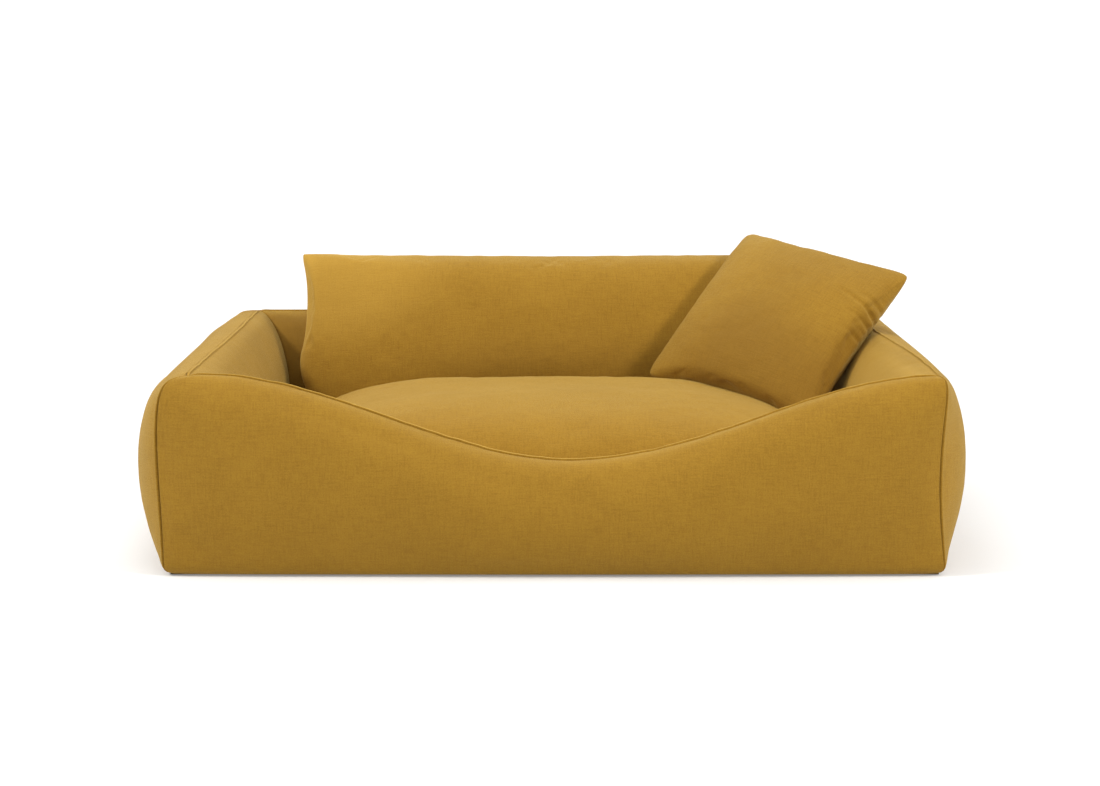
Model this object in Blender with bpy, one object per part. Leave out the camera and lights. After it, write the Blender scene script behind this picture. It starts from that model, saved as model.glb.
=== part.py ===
"""Soft dog bed with a foam frame: four padded walls round a tray, a domed mattress, a long back pillow and a
small square pillow, each in a zipped cover. Metres, +Z up, X across the bed, +Y to the back."""

import math
from collections import namedtuple

import bmesh
import bpy
from mathutils import Matrix, Vector

# The frame
WIDTH = 1.000  # between the corner seams, left to right
DEPTH = 0.750  # between the corner seams, front to back
HEIGHT = 0.255  # from the floor to the seam along the top of a wall
WALL_BASE = 0.102  # how far a wall's inner face stands in from its foot
SIDE_CREST_IN = 0.045  # how far a wall's top seam stands in from the foot
END_CREST_IN = 0.025
DIP_DEPTH = 0.108  # the low way in at the front
DIP_HALF = 0.470  # half the length over which the front wall dips
DIP_CENTRE = 0.015
SIDE_BELLY = 0.046  # how far a stuffed wall swells out at mid height
END_BELLY = 0.020
BELLY_POWER = 6  # higher keeps the swelling full up to the corner seams
ROLL_POWER = 10  # higher keeps the outer face upright further up, before it rolls over
ROLL_FULL = 0.3
SHOULDER_FROM = 0.48  # share of the height where the inner face starts to lean away
SHOULDER_POWER = 0.55

# Cloth, foam and gaps
CLOTH = 0.0015
COVER = 0.0012
GAP = 0.0003
BASE_FOAM = 0.026
FOOT = CLOTH + 0.0005  # where the walls' cloth starts, just over the base panel
SKIN_ROOM = 0.0023  # from a panel's outside to the foam behind it
MITRE_TAPER = 0.3  # how much further apart the corners stand for each step in from the outside
RINGS = 8  # steps up a wall's face
TOP_RING = 0.5  # the foam stops this share of the way up the last step, under the seam
SEAM_END = 0.9995  # a panel stops this share of the way along its path to the seam
FILL_ROOM = 0.0034  # from a cushion's outside to what fills it
FILL_EDGE = 0.0010
FILL_CORNER = 0.03

# The cushions
Cushion = namedtuple(
    "Cushion", "name half_w half_h front rear power full rear_full pinch_w pinch_h press"
)
MATTRESS = Cushion("mattress", 0.378, 0.248, 0.120, 0.042, 3.0, 0.42, 0.12, 0, 0, 0.46)
BACK_PILLOW = Cushion("back_pillow", 0.382, 0.127, 0.060, 0.052, 3.0, 0.50, 0.50, 0.020, 0.07, 0)
SCATTER_PILLOW = Cushion(
    "scatter_pillow", 0.139, 0.139, 0.052, 0.046, 2.4, 0.55, 0.55, 0.06, 0.06, 0
)
MATTRESS_AT = (0, -0.012, 0.0745)
BACK_PILLOW_AT = (0, 0.234, 0.234)
SCATTER_PILLOW_AT = (0.322, 0.090, 0.269)
FLAT_LEAN = 90
BACK_LEAN = 20
SCATTER_LEAN, SCATTER_YAW, SCATTER_ROLL = 46, -30, 12
PRESS_FROM, PRESS_OVER = 0.33, 0.33  # where the back pillow presses the mattress down

# The zips, in a frame with X along the tape and Z out of the cloth
TAPE_WIDTH, TAPE_THICK = 0.014, 0.0008
CHAIN_WIDTH, CHAIN_LOW, CHAIN_HIGH = 0.0044, 0.0011, 0.0029
SLIDER_LENGTH, SLIDER_WIDTH = 0.010, 0.0084
SLIDER_LOW, SLIDER_HIGH = 0.0011, 0.0042
CHANNEL_WIDTH, CHANNEL_HIGH = 0.0054, 0.0033
LUG_LENGTH, LUG_THICK, LUG_IN, LUG_HIGH = 0.0026, 0.0010, 0.0019, 0.0070
PIN_RADIUS, PIN_HEIGHT = 0.0006, 0.0060
EYE_RADIUS, EYE_HOLE, EYE_WIDTH = 0.0015, 0.00095, 0.0030
TAB_LENGTH, TAB_WIDTH, TAB_THICK, NECK_LENGTH = 0.014, 0.0052, 0.0012, 0.0036
STOP_ROOM = 0.008  # from the zip's end to the middle of the closed slider
STAND_OFF = 0.0009  # from the cloth to the tape, which is straight and the cloth is not
FRAME_ZIP, FRAME_ZIP_UP = 0.62, 0.07  # length, and share of the way up the back panel
MATTRESS_ZIP, BACK_PILLOW_ZIP, SCATTER_PILLOW_ZIP = 0.58, 0.44, 0.13

Wall = namedtuple("Wall", "name turn half_out half_along crest_in belly spans")
WALLS = (
    Wall("front", 0, DEPTH / 2, WIDTH / 2, END_CREST_IN, END_BELLY, 14),
    Wall("right", 90, WIDTH / 2, DEPTH / 2, SIDE_CREST_IN, SIDE_BELLY, 8),
    Wall("back", 180, DEPTH / 2, WIDTH / 2, END_CREST_IN, END_BELLY, 8),
    Wall("left", 270, WIDTH / 2, DEPTH / 2, SIDE_CREST_IN, SIDE_BELLY, 8),
)


# ---------------------------------------------------------------- helpers


def clear_scene():
    for obj in list(bpy.data.objects):
        bpy.data.objects.remove(obj, do_unlink=True)


def collection(name):
    made = bpy.data.collections.new(name)
    bpy.context.scene.collection.children.link(made)
    return made


def material(name, colour, roughness, metallic=0.0):
    made = bpy.data.materials.new(name)
    made.use_nodes = True
    shader = made.node_tree.nodes["Principled BSDF"]
    shader.inputs["Base Color"].default_value = (*colour, 1)
    shader.inputs["Roughness"].default_value = roughness
    shader.inputs["Metallic"].default_value = metallic
    return made


def grid_box(spans):
    """A cube from -1 to 1 with its faces cut into a grid, spans[axis] cells along each axis.

    Every cell is split along the same diagonal, so pieces shaped one inside another stay clear."""
    bm = bmesh.new()
    bmesh.ops.create_cube(bm, size=2)
    for axis, count in enumerate(spans):
        normal = Vector((0, 0, 0))
        normal[axis] = 1
        for step in range(1, count):
            bmesh.ops.bisect_plane(
                bm,
                geom=bm.verts[:] + bm.edges[:] + bm.faces[:],
                dist=1e-6,
                plane_co=normal * (2 * step / count - 1),
                plane_no=normal,
            )
    for face in bm.faces[:]:
        if len(face.verts) == 4:
            ends = sorted(face.verts, key=lambda vert: sum(vert.co))
            bmesh.utils.face_split(face, ends[0], ends[-1])
    return bm


def add_object(name, mesh, finish, parent=None):
    obj = bpy.data.objects.new(name, mesh)
    if not mesh.materials:
        mesh.materials.append(finish)
    obj.parent = parent
    PARTS.objects.link(obj)
    return obj


def shaped(name, spans, place, finish, parent=None):
    """A closed solid: the grid box with each of its corners moved to place(u, v, w)."""
    bm = grid_box(spans)
    for vert in bm.verts:
        vert.co = place(*vert.co)
    if bm.calc_volume(signed=True) < 0:
        bmesh.ops.reverse_faces(bm, faces=bm.faces[:])
    mesh = bpy.data.meshes.new(name)
    bm.to_mesh(mesh)
    bm.free()
    mesh.shade_smooth()
    mesh.set_sharp_from_angle(angle=math.radians(50))
    return add_object(name, mesh, finish, parent)


def block(name, low, high, finish, parent=None):
    """A plain box between two corners."""
    low, high = Vector(low), Vector(high)

    def place(u, v, w):
        share = Vector((u + 1, v + 1, w + 1)) / 2
        return low + Vector(a * b for a, b in zip(share, high - low))

    return shaped(name, (1, 1, 1), place, finish, parent)


def empty(name, matrix, parent=None):
    """A moving body's own frame, on its joint's axis."""
    made = bpy.data.objects.new(name, None)
    PARTS.objects.link(made)
    made.parent = parent
    made.matrix_local = matrix
    return made


def smoothstep(x):
    x = min(1.0, max(0.0, x))
    return x * x * (3 - 2 * x)


def spread(s):
    """Grid lines from -1 to 1 moved towards the ends, where the shape turns fastest."""
    return math.sin(s * math.pi / 2)


# ---------------------------------------------------------------- the frame's walls


def top_height(wall, along):
    """How high the top seam runs, which dips at the middle of the front wall."""
    if wall.name != "front":
        return HEIGHT
    share = min(1.0, abs(along - DIP_CENTRE) / DIP_HALF)
    return HEIGHT - DIP_DEPTH * (1 + math.cos(math.pi * share)) / 2


def outer_in(wall, u, h):
    """How far in from the foot the outer face is, at share h of the height."""
    rolled = wall.crest_in * (1 - (1 - h**ROLL_POWER) ** ROLL_FULL)
    swell = max(0.0, math.sin(math.pi * h)) ** 0.8
    return rolled - wall.belly * (1 - abs(u) ** BELLY_POWER) * swell


def inner_in(wall, h):
    """How far in the face towards the mattress is."""
    lean = max(0.0, (h - SHOULDER_FROM) / (1 - SHOULDER_FROM))
    share = max(0.0, 1 - lean * lean) ** SHOULDER_POWER
    return wall.crest_in + (WALL_BASE - wall.crest_in) * share


def face_path(wall, u, t, outside):
    """(inward, z) along a panel, from its foot at t = 0 to the top seam at t = 1."""
    h = math.sin(t * math.pi / 2)
    inward = outer_in(wall, u, h) if outside else inner_in(wall, h)
    top = top_height(wall, u * (wall.half_along - inward))
    return Vector((inward, FOOT + (top - FOOT) * h))


def behind_face(wall, u, t, outside, depth):
    """(inward, z) at a depth behind a panel's face, towards the foam."""
    ahead = face_path(wall, u, min(1, t + 0.02), outside)
    behind = face_path(wall, u, max(0, t - 0.02), outside)
    run = (ahead - behind).normalized()
    towards_foam = 1 if outside else -1
    normal = Vector((run.y, -run.x)) * towards_foam
    inward, z = face_path(wall, u, t, outside) + normal * depth
    return Vector((inward, max(z, FOOT)))


def wall_point(wall, u, t, outside, depth):
    """A point behind a panel's face. The ends lie on the mitres with the walls on either side."""
    inward, z = behind_face(wall, u, t, outside, depth)
    beside = WALLS[(WALLS.index(wall) + 1) % 2]
    mitre = behind_face(beside, 1, t, outside, depth)[0]
    along = u * (wall.half_along - mitre - GAP - MITRE_TAPER * depth)
    turn = Matrix.Rotation(math.radians(wall.turn), 4, "Z")
    return turn @ Vector((along, inward - wall.half_out, z))


def wall_panel(wall, outside, finish):
    """One sewn cloth panel of the frame's cover, outside or lining."""

    def place(u, v, w):
        return wall_point(wall, u, SEAM_END * (v + 1) / 2, outside, CLOTH * (w + 1) / 2)

    kind = "outer_panel" if outside else "inner_lining"
    return shaped(f"{wall.name}_{kind}", (wall.spans, RINGS, 1), place, finish)


def wall_core(wall, finish):
    """The foam inside one wall. Its rings match the panels', but the last stops under the seam."""

    def across(u, v, t):
        outer, inner = (wall_point(wall, u, t, outside, SKIN_ROOM) for outside in (True, False))
        return outer.lerp(inner, (v + 1) / 2)

    def place(u, v, w):
        point = across(u, v, SEAM_END * (w + 1) / 2)
        if w > 1 - 1e-6:
            below = across(u, v, SEAM_END * (1 - 1 / RINGS))
            point = below.lerp(point, TOP_RING)
        return point

    return shaped(f"{wall.name}_wall_foam", (wall.spans, 2, RINGS), place, finish)


def build_frame():
    for wall in WALLS:
        wall_panel(wall, True, FABRIC)
        wall_panel(wall, False, FABRIC)
        wall_core(wall, FOAM)
    edge = 0.001
    half_w, half_d = WIDTH / 2 - edge, DEPTH / 2 - edge
    block("base_panel", (-half_w, -half_d, 0), (half_w, half_d, CLOTH), UNDERSIDE)
    inside_w, inside_d = WIDTH / 2 - WALL_BASE - edge, DEPTH / 2 - WALL_BASE - edge
    foam_low, foam_high = FOOT, FOOT + BASE_FOAM
    lining_low = foam_high + GAP
    block("base_foam", (-inside_w, -inside_d, foam_low), (inside_w, inside_d, foam_high), FOAM)
    block(
        "tray_floor_lining",
        (-inside_w, -inside_d, lining_low),
        (inside_w, inside_d, lining_low + CLOTH),
        UNDERSIDE,
    )


# ---------------------------------------------------------------- the cushions


def cushion_point(c, u, v, front, depth):
    """A point of a cushion's cover, or depth inside it. X across, Z up, and the front faces -Y."""
    u, v = spread(u), spread(v)
    x = (c.half_w - depth) * u * (1 - c.pinch_w * (1 - v * v))
    z = (c.half_h - depth) * v * (1 - c.pinch_h * (1 - u * u))
    swell = (1 - abs(u) ** c.power) * (1 - abs(v) ** c.power)
    if front:
        pressed = 1 - c.press * smoothstep((v - PRESS_FROM) / PRESS_OVER)
        return Vector((x, -GAP - (c.front * pressed - depth) * swell**c.full, z))
    return Vector((x, GAP + (c.rear - depth) * swell**c.rear_full, z))


def cover_half(c, front, label, body, finish):
    """The cloth on one side of a cushion, out to the seam round its edge."""

    def place(u, v, w):
        return cushion_point(c, u, v, front, COVER * (w + 1) / 2)

    return shaped(f"{c.name}_{label}", (10, 8, 1), place, finish, body)


def filling(c, sides, label, body, finish):
    """What fills a cushion, on both sides of the seam round its edge or on one side only."""

    def place(u, v, w):
        front = w < 0
        facing = -1 if front else 1
        point = cushion_point(c, u, v, front, FILL_ROOM)
        rounded = 1 - FILL_CORNER * (u * v) ** 4
        point.x *= rounded
        point.z *= rounded
        if front in sides:
            point.y += facing * FILL_EDGE
        else:
            point.y = -facing * FILL_EDGE / 2
        return point

    return shaped(f"{c.name}_{label}", (10, 8, 1), place, finish, body)


def turned(yaw, lean, roll):
    """Facing -Y, rolled in its own plane, leant back and then turned about Z, in degrees."""
    return (
        Matrix.Rotation(math.radians(yaw), 4, "Z")
        @ Matrix.Rotation(math.radians(-lean), 4, "X")
        @ Matrix.Rotation(math.radians(roll), 4, "Y")
    )


def build_cushions():
    """The three cushions, each on its own empty. Returns those empties by name."""
    bodies = {}
    for c, place, (yaw, lean, roll) in (
        (MATTRESS, MATTRESS_AT, (0, FLAT_LEAN, 0)),
        (BACK_PILLOW, BACK_PILLOW_AT, (0, BACK_LEAN, 0)),
        (SCATTER_PILLOW, SCATTER_PILLOW_AT, (SCATTER_YAW, SCATTER_LEAN, SCATTER_ROLL)),
    ):
        body = empty(f"{c.name}_body", Matrix.Translation(place) @ turned(yaw, lean, roll))
        bodies[c.name] = body
        if c is MATTRESS:
            cover_half(c, True, "top_cover", body, FABRIC)
            cover_half(c, False, "bottom_cover", body, FABRIC)
            filling(c, (True,), "fibre_topper", body, FIBRE)
            filling(c, (False,), "foam_slab", body, FOAM)
        else:
            cover_half(c, True, "front_cover", body, FABRIC)
            cover_half(c, False, "rear_cover", body, FABRIC)
            filling(c, (True, False), "insert", body, FIBRE)
    return bodies


# ---------------------------------------------------------------- the zips


def helper_box(low, high):
    """A hidden box that a Boolean joins or cuts with."""
    bpy.ops.mesh.primitive_cube_add(size=1, location=[(a + b) / 2 for a, b in zip(low, high)])
    return hidden(bpy.context.object, [b - a for a, b in zip(low, high)])


def helper_cylinder(radius, width, height):
    """A hidden cylinder across the zip, at that height over its cloth."""
    bpy.ops.mesh.primitive_cylinder_add(
        vertices=16,
        radius=radius,
        depth=width,
        location=(0, 0, height),
        rotation=(math.pi / 2, 0, 0),
    )
    return hidden(bpy.context.object, (1, 1, 1))


def hidden(obj, scale):
    for other in list(obj.users_collection):
        other.objects.unlink(obj)
    HELPERS.objects.link(obj)
    obj.data.transform(Matrix.Diagonal((*scale, 1)))
    obj.hide_render = True
    obj.display_type = "WIRE"
    return obj


def combined(name, first, joins, cuts):
    """The first helper with others joined to it and cut from it, as one plain mesh."""
    for operation, others in (("UNION", joins), ("DIFFERENCE", cuts)):
        for other in others:
            step = first.modifiers.new(operation.title(), "BOOLEAN")
            step.operation = operation
            step.object = other
            step.solver = "EXACT"
    bpy.context.view_layer.update()
    graph = bpy.context.evaluated_depsgraph_get()
    mesh = bpy.data.meshes.new_from_object(first.evaluated_get(graph))
    mesh.transform(first.matrix_world)
    mesh.name = name
    for helper in (first, *joins, *cuts):
        bpy.data.objects.remove(helper, do_unlink=True)
    mesh.shade_smooth()
    mesh.set_sharp_from_angle(angle=math.radians(40))
    return mesh


def slider_mesh():
    """A channel that rides on the zip's chain, with two lugs and a pin for the pull."""
    half_l, half_w = SLIDER_LENGTH / 2, SLIDER_WIDTH / 2
    body = helper_box((-half_l, -half_w, SLIDER_LOW), (half_l, half_w, SLIDER_HIGH))
    channel = helper_box(
        (-SLIDER_LENGTH, -CHANNEL_WIDTH / 2, 0), (SLIDER_LENGTH, CHANNEL_WIDTH / 2, CHANNEL_HIGH)
    )
    lugs = [
        helper_box(
            (-LUG_LENGTH / 2, min(side * LUG_IN, side * (LUG_IN + LUG_THICK)), SLIDER_HIGH - 0.0004),
            (LUG_LENGTH / 2, max(side * LUG_IN, side * (LUG_IN + LUG_THICK)), LUG_HIGH),
        )
        for side in (-1, 1)
    ]
    pin = helper_cylinder(PIN_RADIUS, 2 * LUG_IN + LUG_THICK, PIN_HEIGHT)
    return combined("zip_slider", body, [*lugs, pin], [channel])


def pull_mesh():
    """A flat tab with an eye that swings on the slider's pin. Its origin is the pin's middle."""
    eye = helper_cylinder(EYE_RADIUS, EYE_WIDTH, 0)
    neck = helper_box(
        (-NECK_LENGTH - 0.0005, -EYE_WIDTH / 2 + 0.0002, -TAB_THICK / 2),
        (-EYE_HOLE, EYE_WIDTH / 2 - 0.0002, TAB_THICK / 2),
    )
    tab = helper_box(
        (-TAB_LENGTH, -TAB_WIDTH / 2, -TAB_THICK / 2), (-NECK_LENGTH, TAB_WIDTH / 2, TAB_THICK / 2)
    )
    hole = helper_cylinder(EYE_HOLE, 2 * EYE_WIDTH, 0)
    return combined("zip_pull", eye, [neck, tab], [hole])


def zip_fastener(name, length, matrix, parent, slider, pull):
    """Tape, chain, slider and pull along X of matrix, closed, with the slider at the +X end."""
    tape_end, chain_end = length / 2 + 0.006, length / 2
    half = TAPE_WIDTH / 2
    for part in (
        block(f"{name}_zip_tape", (-tape_end, -half, 0), (tape_end, half, TAPE_THICK), TAPE, parent),
        block(
            f"{name}_zip_chain",
            (-chain_end, -CHAIN_WIDTH / 2, CHAIN_LOW),
            (chain_end, CHAIN_WIDTH / 2, CHAIN_HIGH),
            TAPE,
            parent,
        ),
    ):
        part.matrix_local = matrix
    at = matrix @ Matrix.Translation((length / 2 - STOP_ROOM, 0, 0))
    body = empty(f"{name}_zip_slider_body", at, parent)
    add_object(f"{name}_zip_slider", slider, BRASS, body)
    swing = empty(f"{name}_zip_pull_body", Matrix.Translation((0, 0, PIN_HEIGHT)), body)
    add_object(f"{name}_zip_pull", pull, BRASS, swing)


def on_cloth(here, across, up):
    """A zip's frame on cloth at a point: X along the tape, Z out of the cloth."""
    run = (across - here).normalized()
    out = run.cross(up - here).normalized()
    turn = Matrix((run, out.cross(run), out)).transposed().to_4x4()
    return Matrix.Translation(here + out * STAND_OFF) @ turn


def on_cushion(c, u, v, upright):
    """A zip's frame on a cushion's rear cover, along it or up it."""
    here, across, up = (
        cushion_point(c, u + du, v + dv, False, 0) for du, dv in ((0, 0), (0.02, 0), (0, 0.02))
    )
    if upright:
        return on_cloth(here, up, across)
    return on_cloth(here, 2 * here - across, up)


def build_zips(bodies):
    slider, pull = slider_mesh(), pull_mesh()
    back = WALLS[2]
    here, across, up = (
        wall_point(back, u, t, True, 0)
        for u, t in ((0, FRAME_ZIP_UP), (0.02, FRAME_ZIP_UP), (0, FRAME_ZIP_UP + 0.02))
    )
    places = (
        ("frame", FRAME_ZIP, on_cloth(here, across, up), None),
        (
            "mattress",
            MATTRESS_ZIP,
            Matrix.Translation((0, 0, MATTRESS.half_h + STAND_OFF)),
            bodies["mattress"],
        ),
        (
            "back_pillow",
            BACK_PILLOW_ZIP,
            on_cushion(BACK_PILLOW, 0, -0.42, False),
            bodies["back_pillow"],
        ),
        (
            "scatter_pillow",
            SCATTER_PILLOW_ZIP,
            on_cushion(SCATTER_PILLOW, 0.42, 0.22, True),
            bodies["scatter_pillow"],
        ),
    )
    for name, length, matrix, body in places:
        zip_fastener(name, length, matrix, body, slider, pull)


clear_scene()
PARTS = collection("dog_bed")
HELPERS = collection("cutters")
FABRIC = material("mustard_cloth", (0.43, 0.26, 0.045), 0.9)
UNDERSIDE = material("underside_cloth", (0.16, 0.11, 0.05), 0.85)
FOAM = material("foam", (0.75, 0.70, 0.55), 0.8)
FIBRE = material("fibre_fill", (0.85, 0.84, 0.80), 0.95)
TAPE = material("zip_tape", (0.33, 0.20, 0.04), 0.7)
BRASS = material("brass", (0.55, 0.40, 0.16), 0.35, 1.0)
build_frame()
build_zips(build_cushions())
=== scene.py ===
"""A soft dog bed with a frame: stuffed walls, mattress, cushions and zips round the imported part."""

import math

import bmesh
import bpy
import numpy as np
from mathutils import Matrix, Vector, noise


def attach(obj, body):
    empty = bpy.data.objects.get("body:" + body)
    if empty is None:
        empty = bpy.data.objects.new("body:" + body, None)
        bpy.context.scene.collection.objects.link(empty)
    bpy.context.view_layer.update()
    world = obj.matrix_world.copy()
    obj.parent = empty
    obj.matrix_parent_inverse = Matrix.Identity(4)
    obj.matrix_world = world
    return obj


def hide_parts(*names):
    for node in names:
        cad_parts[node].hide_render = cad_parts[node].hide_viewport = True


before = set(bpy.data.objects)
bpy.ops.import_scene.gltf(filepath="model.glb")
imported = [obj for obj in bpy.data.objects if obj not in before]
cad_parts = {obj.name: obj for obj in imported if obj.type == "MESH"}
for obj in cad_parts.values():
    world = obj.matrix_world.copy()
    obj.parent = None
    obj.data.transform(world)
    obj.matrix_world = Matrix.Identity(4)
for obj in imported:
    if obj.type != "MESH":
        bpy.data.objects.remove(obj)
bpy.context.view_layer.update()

# The frame's sizes, in metres, as the part has them
WIDTH, DEPTH, HEIGHT = 1.000, 0.750, 0.255
WALL_BASE = 0.096
SIDE_CREST_IN, END_CREST_IN = 0.045, 0.025
DIP_DEPTH, DIP_HALF, DIP_CENTRE = 0.108, 0.470, 0.015
SIDE_BELLY, END_BELLY, BELLY_POWER = 0.049, 0.020, 6
SWELL_POWER = 0.62  # under 1 is fuller near the top seam and the foot
INNER_BELLY = 0.002
CORNER_FILL = 0.003  # how much fuller the walls are inside their corners
FRONT_CREST_IN = {"left": 0.036, "right": 0.014}  # the side walls' crests near the front
RIGHT_CREST_UP = 0.0045  # how much higher the right wall stands half way along
ROLL_POWER, ROLL_FULL = 10, 0.3
SHOULDER_FROM, SHOULDER_POWER = 0.48, 0.55
FOOT = 0.0008
BASE_IN = 0.0085  # the base cloth ends this far inside the walls' outer foot
TRAY_TUCK = 0.004  # and the tray cloth this far under their inner foot

# Sewing
COVER_EASE = 0.0012  # how far the covers stand out from the part's panels
SEAM_TUCK, SEAM_REACH = 0.0024, 0.0014  # how deep and how far a corner seam pulls its cloth in
FELL_WIDTH = 0.0052  # the folded edge that the top seam is stitched down along
FOOT_ROUND = 0.009  # the radius that the covers turn under with
STITCH_STEP, STITCH_LENGTH, THREAD = 0.0034, 0.0026, 0.0003

# How pale each wall's crest is drawn, for wear and a painted highlight along it, and the painted
# light (above 0) and painted shade (below 0) on its inner side
CREST_WEAR_AND_HIGHLIGHT = {"front": 0.9, "right": 0.35, "back": 0.35, "left": 0.35}
INNER_PAINTED_LIGHT_AND_SHADE = {"front": 0, "right": 0.45, "back": -0.85, "left": 0}

# each wall's turn about Z, how far out it stands, half its length, its crest's inset and its belly
WALLS = {
    "front": (0, DEPTH / 2, WIDTH / 2, END_CREST_IN, END_BELLY),
    "right": (90, WIDTH / 2, DEPTH / 2, SIDE_CREST_IN, SIDE_BELLY - 0.010),
    "back": (180, DEPTH / 2, WIDTH / 2, END_CREST_IN, END_BELLY),
    "left": (270, WIDTH / 2, DEPTH / 2, SIDE_CREST_IN, SIDE_BELLY),
}


# ---------------------------------------------------------------- finishes


class Reading:
    """A socket of a finish's nodes, which sums, products and powers can be written with."""

    def __init__(self, finish, socket):
        self.finish = finish
        self.socket = socket

    def maths(self, operation, *others):
        return self.finish.node("ShaderNodeMath", {"operation": operation}, self, *others)

    def __add__(self, other):
        return self.maths("ADD", other)

    def __mul__(self, other):
        return self.maths("MULTIPLY", other)

    def __sub__(self, other):
        return self.maths("SUBTRACT", other)

    def __rsub__(self, other):
        return self.finish.node("ShaderNodeMath", {"operation": "SUBTRACT"}, other, self)

    __radd__ = __add__
    __rmul__ = __mul__

    def sine(self):
        return self.maths("SINE")

    def between(self, low, high):
        """0 at low, 1 at high, smooth in between."""
        settings = {"interpolation_type": "SMOOTHSTEP"}
        return self.finish.node("ShaderNodeMapRange", settings, self, low, high)


class Finish:
    """A material being made: a Principled shader and the nodes that feed it."""

    def __init__(self, name, **plain):
        self.material = bpy.data.materials.new(name)
        self.material.use_nodes = True
        self.tree = self.material.node_tree
        self.shader = self.tree.nodes["Principled BSDF"]
        for socket, value in plain.items():
            self.shader.inputs[socket.replace("_", " ")].default_value = value

    def node(self, kind, settings, *values, output=0):
        """A node of that kind, its settings made first, and then its inputs fed in order."""
        made = self.tree.nodes.new(kind)
        for key, value in settings.items():
            setattr(made, key, value)
        sockets = [s for s in made.inputs if s.enabled]
        for socket, value in zip(sockets, values):
            self.feed(socket, value)
        found = [s for s in made.outputs if s.enabled]
        return Reading(self, found[output])

    def feed(self, socket, value):
        if isinstance(value, Reading):
            self.tree.links.new(value.socket, socket)
        elif value is not None:
            socket.default_value = value

    def set(self, name, value):
        self.feed(self.shader.inputs[name], value)

    def cloth_place(self):
        """Where a point is on its own cloth, in metres along the weave."""
        return self.node("ShaderNodeUVMap", {"uv_map": "cloth"})

    def object_place(self):
        return self.node("ShaderNodeTexCoord", {}, output=3)

    def stretched(self, place, scale):
        return self.node("ShaderNodeVectorMath", {"operation": "MULTIPLY"}, place, scale)

    def noise(self, place, scale, detail=2.0, rough=0.5):
        return self.node("ShaderNodeTexNoise", {}, place, scale, detail, rough)

    def axis(self, place, index):
        return self.node("ShaderNodeSeparateXYZ", {}, place, output=index)

    def mixed(self, share, first, second):
        """From the first colour to the second."""
        made = self.tree.nodes.new("ShaderNodeMix")
        made.data_type = "RGBA"
        for key, value in ((0, share), (6, first), (7, second)):
            self.feed(made.inputs[key], value)
        return Reading(self, made.outputs[2])

    def bump(self, height, distance, strength=1.0, under=None):
        made = self.tree.nodes.new("ShaderNodeBump")
        for key, value in (
            ("Strength", strength),
            ("Distance", distance),
            ("Height", height),
            ("Normal", under),
        ):
            self.feed(made.inputs[key], value)
        return Reading(self, made.outputs[0])


def srgb(red, green, blue):
    """A linear colour from 0 to 255 display values."""
    shares = [v / 255 for v in (red, green, blue)]
    linear = [s / 12.92 if s <= 0.04045 else ((s + 0.055) / 1.055) ** 2.4 for s in shares]
    return (*linear, 1)


def woven_cloth(name, light, dark, deep, pale):
    """Brushed slubby cloth: thick and thin threads both ways, a soft nap, and faint patches."""
    finish = Finish(name, Roughness=0.92, Sheen_Weight=0.25, Sheen_Roughness=0.5)
    finish.shader.inputs["Sheen Tint"].default_value = (1.0, 0.83, 0.32, 1)
    finish.shader.inputs["Specular IOR Level"].default_value = 0.25
    place = finish.cloth_place()
    fine = finish.noise(finish.stretched(place, (50, 760, 1)), 1.0, 2.0, 0.6)
    fine_up = finish.noise(finish.stretched(place, (760, 50, 1)), 1.0, 2.0, 0.6)
    thick = finish.noise(finish.stretched(place, (46, 340, 1)), 1.0, 2.0, 0.5)
    thick_up = finish.noise(finish.stretched(place, (340, 46, 1)), 1.0, 2.0, 0.5)
    nap = finish.noise(place, 520, 2.0, 0.65)
    patches = finish.noise(place, 9, 3.0, 0.55)
    threads = (fine + fine_up) * 0.22 + (thick + thick_up) * 0.28
    shade = threads * 0.56 + nap * 0.32 + patches * 0.12
    colour = finish.mixed(shade.between(0.38, 0.62), dark, light)
    slub = thick.between(0.60, 0.72) + thick_up.between(0.60, 0.72)
    colour = finish.mixed(slub * 0.2, colour, deep)
    # the mesh's value draws the cloth paler for wear, painted highlight and painted light, and darker
    # below 0 for painted shade
    worn = finish.node("ShaderNodeAttribute", {"attribute_name": "worn"}, output=2)
    colour = finish.mixed(worn.between(0, 1) * 0.7, colour, pale)
    colour = finish.mixed((worn * -1).between(0, 1) * 0.6, colour, deep)
    finish.set("Base Color", colour)
    finish.set("Roughness", 0.98 - shade * 0.2)
    pitch = 2 * math.pi / 0.0016
    x, y = finish.axis(place, 0), finish.axis(place, 1)
    weave = (x * pitch).sine() * (y * pitch).sine()
    height = weave * 0.15 + threads * 1.2 + nap * 0.5
    finish.set("Normal", finish.bump(height, 0.0010, 0.7))
    return finish.material


def filling_finish(name, light, dark, scale):
    """Foam cells or loose fibre, which is never on show."""
    finish = Finish(name, Roughness=0.95)
    place = finish.object_place()
    cells = finish.noise(place, scale, 3.0, 0.6)
    finish.set("Base Color", finish.mixed(cells.between(0.35, 0.65), dark, light))
    finish.set("Normal", finish.bump(cells, 0.001, 0.6))
    return finish.material


def tape_finish():
    """Ribbed zip tape."""
    finish = Finish("zip_tape", Roughness=0.8, Sheen_Weight=0.15)
    place = finish.object_place()
    ribs = (finish.axis(place, 0) + finish.axis(place, 1) + finish.axis(place, 2)) * 3600
    wear = finish.noise(place, 900, 2.0, 0.5)
    shade = ribs.sine() * 0.25 + wear
    worn, fresh = srgb(124, 88, 20), srgb(152, 112, 30)
    finish.set("Base Color", finish.mixed(shade.between(0.3, 0.8), worn, fresh))
    finish.set("Normal", finish.bump(shade, 0.0003, 0.5))
    return finish.material


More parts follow.
